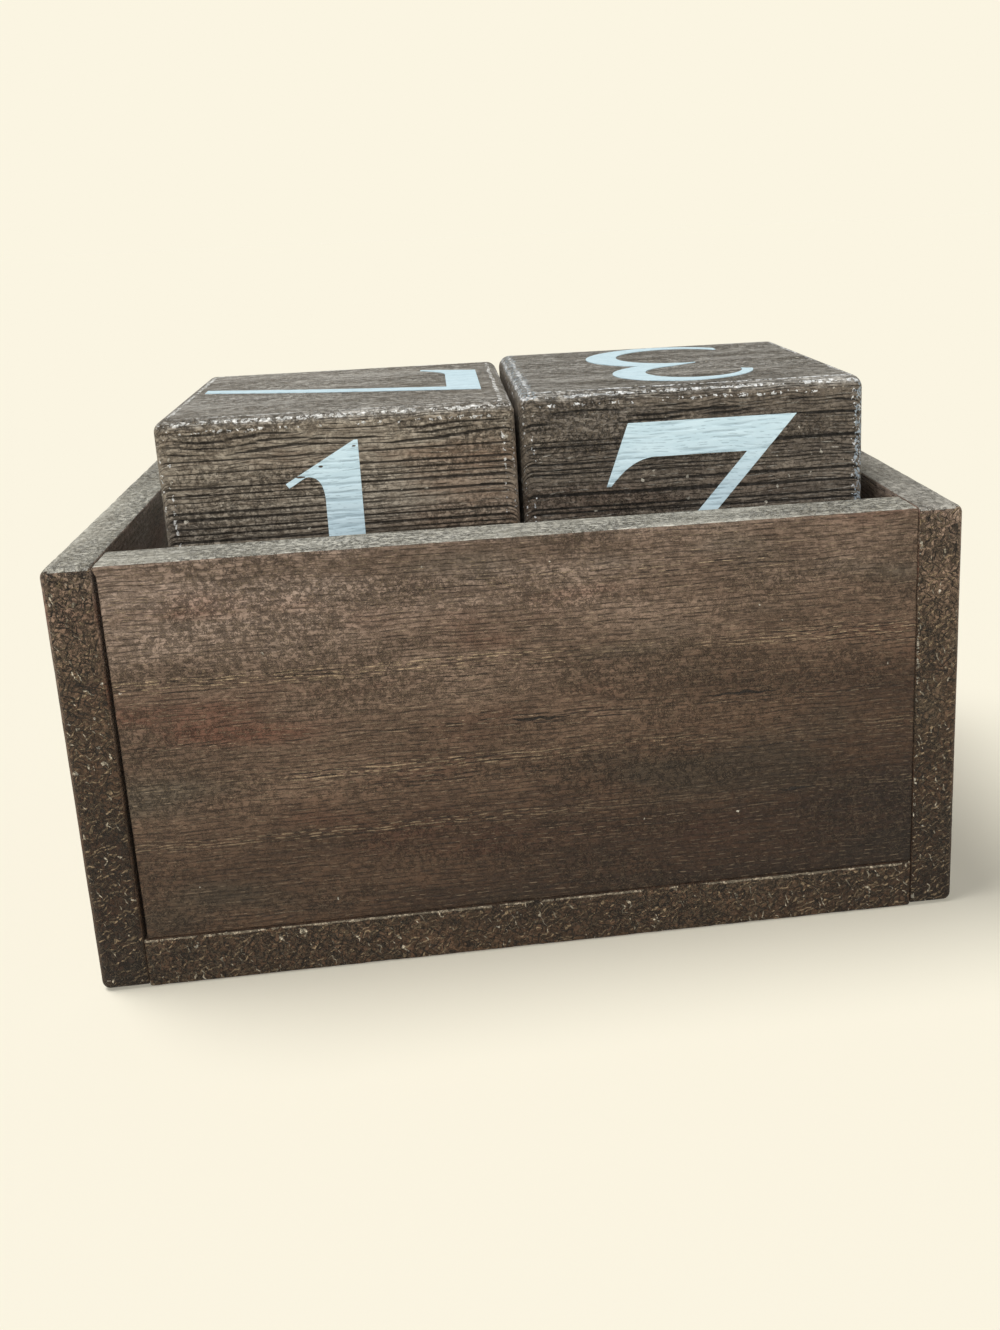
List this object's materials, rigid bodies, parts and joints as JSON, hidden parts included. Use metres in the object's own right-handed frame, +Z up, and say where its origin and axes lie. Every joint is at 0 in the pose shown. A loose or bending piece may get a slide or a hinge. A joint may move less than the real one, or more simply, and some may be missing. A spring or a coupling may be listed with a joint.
{
  "type": "perpetual calendar",
  "caption": "Open-topped wooden box that holds square month bars in a row, with numbered date cubes standing on them.",
  "frame": {"origin": "middle of the box's underside, on the surface it stands on", "axes": "+X along the box to the right of someone who faces the tall panel, +Y from the tall panel to the open display side, +Z up"},
  "size_m": [0.1244, 0.0776, 0.0782],
  "materials": {
    "box_wood": "dark brown stain, dry and slightly worn, fine grain along the boards",
    "cube_wood": "dark brown stain over open grain, rubbed pale on the edges",
    "bar_wood": "dark brown stain over open grain, rubbed pale on the edges",
    "figure_paint": "thin matt paint, pale blue-white, with the grain showing through"
  },
  "bodies": {
    "box": {"bottom_board": "box_wood", "back_panel": "box_wood", "left_end_board": "box_wood", "right_end_board": "box_wood"},
    "left_cube": {"left_cube": "cube_wood", "left_cube_figure_1": "figure_paint", "left_cube_figure_7": "figure_paint", "left_cube_figure_4": "figure_paint", "left_cube_figure_0": "figure_paint", "left_cube_figure_2": "figure_paint", "left_cube_figure_5": "figure_paint"},
    "right_cube": {"right_cube": "cube_wood", "right_cube_figure_7": "figure_paint", "right_cube_figure_3": "figure_paint", "right_cube_figure_2": "figure_paint", "right_cube_figure_1": "figure_paint", "right_cube_figure_6": "figure_paint", "right_cube_figure_0": "figure_paint"},
    "display_bar": {"display_bar": "bar_wood", "month_figure_1": "figure_paint", "month_figure_2": "figure_paint", "month_figure_3": "figure_paint", "month_figure_4": "figure_paint"},
    "middle_bar": {"middle_bar": "bar_wood", "month_figure_5": "figure_paint", "month_figure_6": "figure_paint", "month_figure_7": "figure_paint", "month_figure_8": "figure_paint"},
    "rear_bar": {"rear_bar": "bar_wood", "month_figure_9": "figure_paint", "month_figure_10": "figure_paint", "month_figure_11": "figure_paint", "month_figure_12": "figure_paint"}
  },
  "joints": [
    {"name": "left_cube_lift", "type": "slide", "parent": "box", "child": "left_cube", "axis": [0, 0, 1], "range_m": [0, 0.06]},
    {"name": "right_cube_lift", "type": "slide", "parent": "box", "child": "right_cube", "axis": [0, 0, 1], "range_m": [0, 0.06]},
    {"name": "display_bar_draw", "type": "slide", "parent": "box", "child": "display_bar", "axis": [0, 1, 0], "range_m": [0, 0.1]},
    {"name": "middle_bar_draw", "type": "slide", "parent": "box", "child": "middle_bar", "axis": [0, 1, 0], "range_m": [0, 0.08]},
    {"name": "rear_bar_draw", "type": "slide", "parent": "box", "child": "rear_bar", "axis": [0, 1, 0], "range_m": [0, 0.06]}
  ],
  "couplings": [
    {"joint": "middle_bar_draw", "follows": "display_bar_draw", "ratio": 0.8},
    {"joint": "rear_bar_draw", "follows": "display_bar_draw", "ratio": 0.6}
  ]
}
